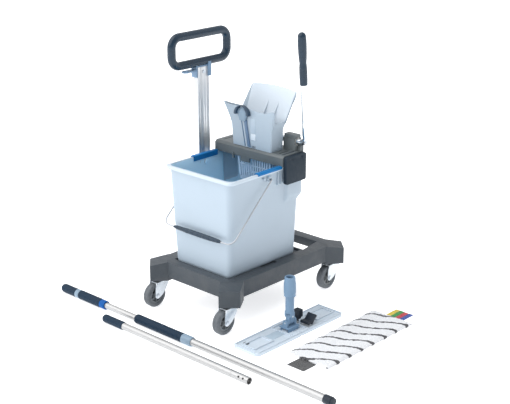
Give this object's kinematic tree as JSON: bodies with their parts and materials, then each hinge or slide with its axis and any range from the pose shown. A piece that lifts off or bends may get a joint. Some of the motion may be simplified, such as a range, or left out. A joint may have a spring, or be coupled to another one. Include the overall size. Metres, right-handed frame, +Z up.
{
  "type": "mop and bucket with wringer",
  "caption": "Wheeled mopping trolley with bucket, lever wringer, funnel and ring handle, with a hinged flat mop head, striped pad, telescopic pole and short pole.",
  "frame": {"origin": "bottom centre of the whole laid out set, on the floor", "axes": "+X along the two poles towards their open ends, +Y towards the back of the trolley, +Z up"},
  "size_m": [1.151, 0.768, 0.882],
  "materials": {
    "dark_plastic": "fine grained moulded plastic",
    "navy_plastic": "soft grip plastic",
    "pale_plastic": "satin moulded plastic",
    "blue_plastic": "satin moulded plastic",
    "bright_plastic": "glossy moulded plastic",
    "white_plastic": "satin moulded plastic",
    "black_plastic": "moulded plastic",
    "aluminium": "satin anodised",
    "zinc": "zinc plated",
    "chrome": "polished",
    "bronze": "sintered",
    "tyre": "grey rubber",
    "hub_plastic": "moulded plastic",
    "microfibre": "tufted microfibre",
    "webbing": "woven tape"
  },
  "bodies": {
    "trolley": {"chassis": "dark_plastic", "caster_sleeves": "zinc", "handle_post": "aluminium", "frame_screws": "zinc", "push_handle": "navy_plastic", "handle_collar": "blue_plastic", "hanging_eye": "blue_plastic"},
    "caster_front_left": {"fork_front_left": "zinc", "axle_front_left": "zinc"},
    "wheel_front_left": {"hub_front_left": "hub_plastic", "tyre_front_left": "tyre"},
    "caster_front_right": {"fork_front_right": "zinc", "axle_front_right": "zinc"},
    "wheel_front_right": {"hub_front_right": "hub_plastic", "tyre_front_right": "tyre"},
    "caster_rear_left": {"fork_rear_left": "zinc", "axle_rear_left": "zinc"},
    "wheel_rear_left": {"hub_rear_left": "hub_plastic", "tyre_rear_left": "tyre"},
    "caster_rear_right": {"fork_rear_right": "zinc", "axle_rear_right": "zinc"},
    "wheel_rear_right": {"hub_rear_right": "hub_plastic", "tyre_rear_right": "tyre"},
    "bucket": {"bucket": "pale_plastic", "rim_clips": "bright_plastic"},
    "bail": {"bail_wire": "chrome", "bail_grip": "navy_plastic"},
    "wringer": {"wringer_frame": "dark_plastic", "side_cover": "dark_plastic", "cover_screws": "zinc", "sieve_basket": "pale_plastic", "shaft_bushes": "bronze", "return_spring": "zinc"},
    "lever": {"lever_tube": "chrome", "lever_grip": "navy_plastic", "press_shaft": "zinc"},
    "press": {"press_plate": "blue_plastic"},
    "funnel": {"funnel": "pale_plastic", "funnel_hook": "blue_plastic"},
    "mop_base": {"mop_saddle": "blue_plastic", "wing_pins": "zinc"},
    "wing_near": {"mop_wing_near": "white_plastic"},
    "wing_far": {"mop_wing_far": "white_plastic"},
    "yoke": {"joint_yoke": "blue_plastic", "yoke_pins": "zinc"},
    "socket": {"handle_socket": "blue_plastic"},
    "sleeve": {"socket_sleeve": "blue_plastic"},
    "pedal": {"foot_pedal": "black_plastic"},
    "pad": {"mop_pad": "microfibre", "pad_tabs": "webbing"},
    "long_pole": {"outer_tube": "aluminium", "middle_grip": "navy_plastic", "pole_plug": "black_plastic"},
    "inner_pole": {"inner_tube": "aluminium", "top_grip": "navy_plastic", "top_band": "pale_plastic", "top_ring": "bright_plastic"},
    "pole_lock": {"lock_collar": "pale_plastic"},
    "short_pole": {"short_tube": "aluminium", "short_grip": "navy_plastic"}
  },
  "joints": [
    {"name": "swivel_front_left", "type": "hinge", "parent": "trolley", "child": "caster_front_left", "pos_m": [-0.2665, -0.153, 0.085], "axis": [0, 0, 1], "continuous": true},
    {"name": "roll_front_left", "type": "hinge", "parent": "caster_front_left", "child": "wheel_front_left", "pos_m": [-0.2665, -0.183, 0.04], "axis": [1, 0, 0], "continuous": true},
    {"name": "swivel_front_right", "type": "hinge", "parent": "trolley", "child": "caster_front_right", "pos_m": [0.0415, -0.153, 0.085], "axis": [0, 0, 1], "continuous": true},
    {"name": "roll_front_right", "type": "hinge", "parent": "caster_front_right", "child": "wheel_front_right", "pos_m": [0.0415, -0.183, 0.04], "axis": [1, 0, 0], "continuous": true},
    {"name": "swivel_rear_left", "type": "hinge", "parent": "trolley", "child": "caster_rear_left", "pos_m": [-0.2665, 0.335, 0.085], "axis": [0, 0, 1], "continuous": true},
    {"name": "roll_rear_left", "type": "hinge", "parent": "caster_rear_left", "child": "wheel_rear_left", "pos_m": [-0.2665, 0.305, 0.04], "axis": [1, 0, 0], "continuous": true},
    {"name": "swivel_rear_right", "type": "hinge", "parent": "trolley", "child": "caster_rear_right", "pos_m": [0.0415, 0.335, 0.085], "axis": [0, 0, 1], "continuous": true},
    {"name": "roll_rear_right", "type": "hinge", "parent": "caster_rear_right", "child": "wheel_rear_right", "pos_m": [0.0415, 0.305, 0.04], "axis": [1, 0, 0], "continuous": true},
    {"name": "bucket_lift", "type": "slide", "parent": "trolley", "child": "bucket", "axis": [0, 0, 1], "range_m": [0, 0.33]},
    {"name": "bail_swing", "type": "hinge", "parent": "bucket", "child": "bail", "pos_m": [-0.1125, 0.037, 0.44], "axis": [-1, 0, 0], "range_deg": [0, 130]},
    {"name": "wringer_lift", "type": "slide", "parent": "bucket", "child": "wringer", "axis": [0, 0, 1], "range_m": [0, 0.15]},
    {"name": "lever_swing", "type": "hinge", "parent": "wringer", "child": "lever", "pos_m": [-0.1125, 0.172, 0.53], "axis": [-1, 0, 0], "range_deg": [0, 80], "stiffness_Nm_per_rad": 0.5, "springref_deg": -22.92, "deforming": ["return_spring"]},
    {"name": "press_swing", "type": "hinge", "parent": "wringer", "child": "press", "pos_m": [-0.1125, 0.172, 0.53], "axis": [-1, 0, 0], "range_deg": [0, 20]},
    {"name": "funnel_lift", "type": "slide", "parent": "wringer", "child": "funnel", "axis": [0, 0, 1], "range_m": [0, 0.15]},
    {"name": "mop_lift", "type": "slide", "parent": "trolley", "child": "mop_base", "axis": [0, 0, 1], "range_m": [0, 0.3]},
    {"name": "near_wing_fold", "type": "hinge", "parent": "mop_base", "child": "wing_near", "pos_m": [0.1755, -0.0405, 0.007], "axis": [1, 0, 0], "range_deg": [0, 85]},
    {"name": "far_wing_fold", "type": "hinge", "parent": "mop_base", "child": "wing_far", "pos_m": [0.1755, -0.0235, 0.007], "axis": [-1, 0, 0], "range_deg": [0, 85]},
    {"name": "yoke_tilt", "type": "hinge", "parent": "mop_base", "child": "yoke", "pos_m": [0.1755, -0.032, 0.033], "axis": [0, 1, 0], "range_deg": [-35, 75]},
    {"name": "socket_tilt", "type": "hinge", "parent": "yoke", "child": "socket", "pos_m": [0.1755, -0.032, 0.052], "axis": [1, 0, 0], "range_deg": [-50, 50]},
    {"name": "sleeve_twist", "type": "hinge", "parent": "socket", "child": "sleeve", "pos_m": [0.1755, -0.032, 0.15], "axis": [0, 0, 1], "range_deg": [0, 90]},
    {"name": "pedal_press", "type": "hinge", "parent": "wing_far", "child": "pedal", "pos_m": [0.1755, 0.016, 0.02], "axis": [-1, 0, 0], "range_deg": [0, 10], "stiffness_Nm_per_rad": 0.5, "springref_deg": -5.73},
    {"name": "pad_lift", "type": "slide", "parent": "trolley", "child": "pad", "axis": [0, 0, 1], "range_m": [0, 0.15]},
    {"name": "long_pole_lift", "type": "slide", "parent": "trolley", "child": "long_pole", "axis": [0, 0, 1], "range_m": [0, 0.3]},
    {"name": "inner_slide", "type": "slide", "parent": "long_pole", "child": "inner_pole", "axis": [-1, 0, 0], "range_m": [-0.13, 0.4]},
    {"name": "lock_twist", "type": "hinge", "parent": "long_pole", "child": "pole_lock", "pos_m": [0.0175, -0.309, 0.015], "axis": [1, 0, 0], "range_deg": [0, 90]},
    {"name": "short_pole_lift", "type": "slide", "parent": "trolley", "child": "short_pole", "axis": [0, 0, 1], "range_m": [0, 0.3]}
  ],
  "couplings": [
    {"joint": "press_swing", "follows": "lever_swing", "ratio": 0.25}
  ]
}
